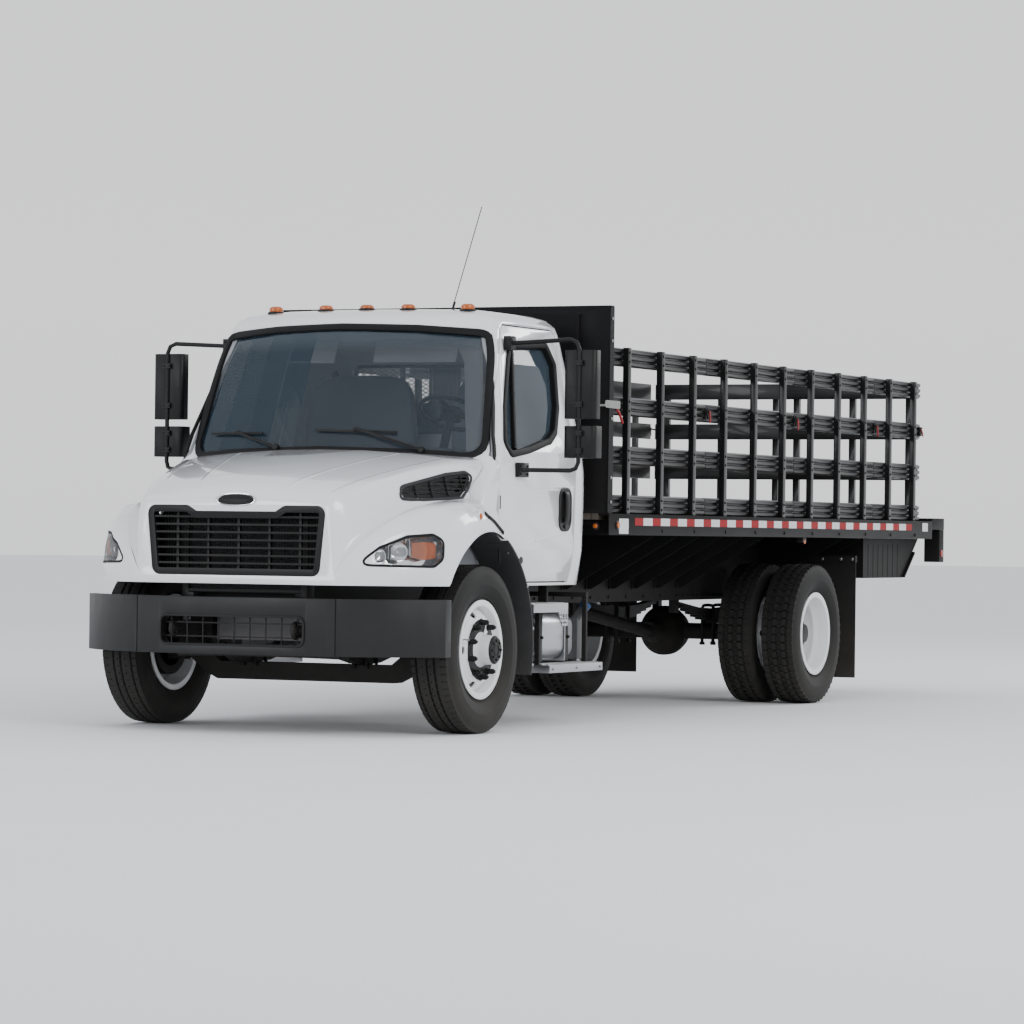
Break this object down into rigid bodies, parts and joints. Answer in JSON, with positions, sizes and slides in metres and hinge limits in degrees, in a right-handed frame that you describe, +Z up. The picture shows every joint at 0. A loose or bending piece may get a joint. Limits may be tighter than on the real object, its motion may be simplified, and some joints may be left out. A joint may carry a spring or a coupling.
{
  "type": "flatbed stake truck",
  "caption": "Flatbed stake-bed truck with a conventional two-seat cab, tilting hood, opening doors, steered front wheels and twin rear wheels.",
  "frame": {"origin": "on the ground, midway between the bumper's face and the tail, on the centre line", "axes": "+X forward, +Y to the driver's side, +Z up"},
  "size_m": [9.596, 3.18, 3.3486],
  "materials": {
    "cab_paint": "gloss white enamel",
    "bed_paint": "semi-gloss black paint",
    "wheel_paint": "white wheel enamel",
    "frame": "black chassis paint",
    "bumper": "charcoal grey",
    "steel": "bare machined steel",
    "engine": "painted castings",
    "radiator": "bare aluminium core",
    "aluminium": "bare aluminium",
    "tank": "grey moulded plastic",
    "trim": "black grained plastic",
    "interior": "dark blue grey plastic",
    "seat_cloth": "woven seat cloth",
    "deck_wood": "dark treated planks",
    "flap_rubber": "moulded rubber",
    "tyre": "moulded tread and sidewall",
    "glass": "clear tinted glass",
    "lamp_glass": "clear moulded lens",
    "amber": "amber lens plastic"
  },
  "bodies": {
    "chassis": {"frame_rails": "frame", "bumper": "bumper", "front_axle": "frame", "leaf_springs": "frame", "rear_axle": "frame", "driveshaft": "steel", "engine": "engine", "radiator": "radiator", "fuel_tank": "aluminium", "side_tanks": "tank", "cab_steps": "aluminium", "cab_shell": "cab_paint", "cab_glass": "glass", "dashboard": "interior", "steering_wheel": "interior", "seats": "seat_cloth", "roof_fittings": "amber", "wipers": "trim", "quarter_fenders": "trim", "bed_deck": "deck_wood", "bed_sills": "bed_paint", "side_rails": "bed_paint", "headboard": "bed_paint", "rack_left": "bed_paint", "rack_right": "bed_paint", "rear_gate": "bed_paint", "tail_lamps": "trim", "rear_apron": "bed_paint", "mudflaps": "flap_rubber", "marker_lamps": "amber", "grab_handles": "aluminium"},
    "hood_tilt": {"hood": "cab_paint", "grille": "trim", "headlamps": "lamp_glass", "hood_vents": "trim"},
    "left_door": {"door_left": "cab_paint", "door_glass_left": "glass", "mirror_left": "trim"},
    "right_door": {"door_right": "cab_paint", "door_glass_right": "glass", "mirror_right": "trim"},
    "left_knuckle": {"knuckle_left": "steel"},
    "right_knuckle": {"knuckle_right": "steel"},
    "front_left_wheel": {"tyre_front_left": "tyre", "wheel_front_left": "wheel_paint"},
    "front_right_wheel": {"tyre_front_right": "tyre", "wheel_front_right": "wheel_paint"},
    "rear_left_wheels": {"tyres_rear_left": "tyre", "wheels_rear_left": "wheel_paint"},
    "rear_right_wheels": {"tyres_rear_right": "tyre", "wheels_rear_right": "wheel_paint"}
  },
  "joints": [
    {"name": "hood_hinge", "type": "hinge", "parent": "chassis", "child": "hood_tilt", "pos_m": [4.688, 0, 0.87], "axis": [0, 1, 0], "range_deg": [0, 60]},
    {"name": "left_door_hinge", "type": "hinge", "parent": "chassis", "child": "left_door", "pos_m": [3.42, 1.148, 1.2], "axis": [0, 0, -1], "range_deg": [0, 70]},
    {"name": "right_door_hinge", "type": "hinge", "parent": "chassis", "child": "right_door", "pos_m": [3.42, -1.148, 1.2], "axis": [0, 0, 1], "range_deg": [0, 70]},
    {"name": "left_steering", "type": "hinge", "parent": "chassis", "child": "left_knuckle", "pos_m": [3.758, 0.905, 0.515], "axis": [0, 0, 1], "range_deg": [-38, 38]},
    {"name": "right_steering", "type": "hinge", "parent": "chassis", "child": "right_knuckle", "pos_m": [3.758, -0.905, 0.515], "axis": [0, 0, 1], "range_deg": [-38, 38]},
    {"name": "front_left_spin", "type": "hinge", "parent": "left_knuckle", "child": "front_left_wheel", "pos_m": [3.758, 1.075, 0.515], "axis": [0, 1, 0], "continuous": true},
    {"name": "front_right_spin", "type": "hinge", "parent": "right_knuckle", "child": "front_right_wheel", "pos_m": [3.758, -1.075, 0.515], "axis": [0, 1, 0], "continuous": true},
    {"name": "rear_left_spin", "type": "hinge", "parent": "chassis", "child": "rear_left_wheels", "pos_m": [-1.942, 0.9235, 0.515], "axis": [0, 1, 0], "continuous": true},
    {"name": "rear_right_spin", "type": "hinge", "parent": "chassis", "child": "rear_right_wheels", "pos_m": [-1.942, -0.9235, 0.515], "axis": [0, 1, 0], "continuous": true}
  ],
  "couplings": [
    {"joint": "right_steering", "follows": "left_steering", "ratio": 1}
  ]
}
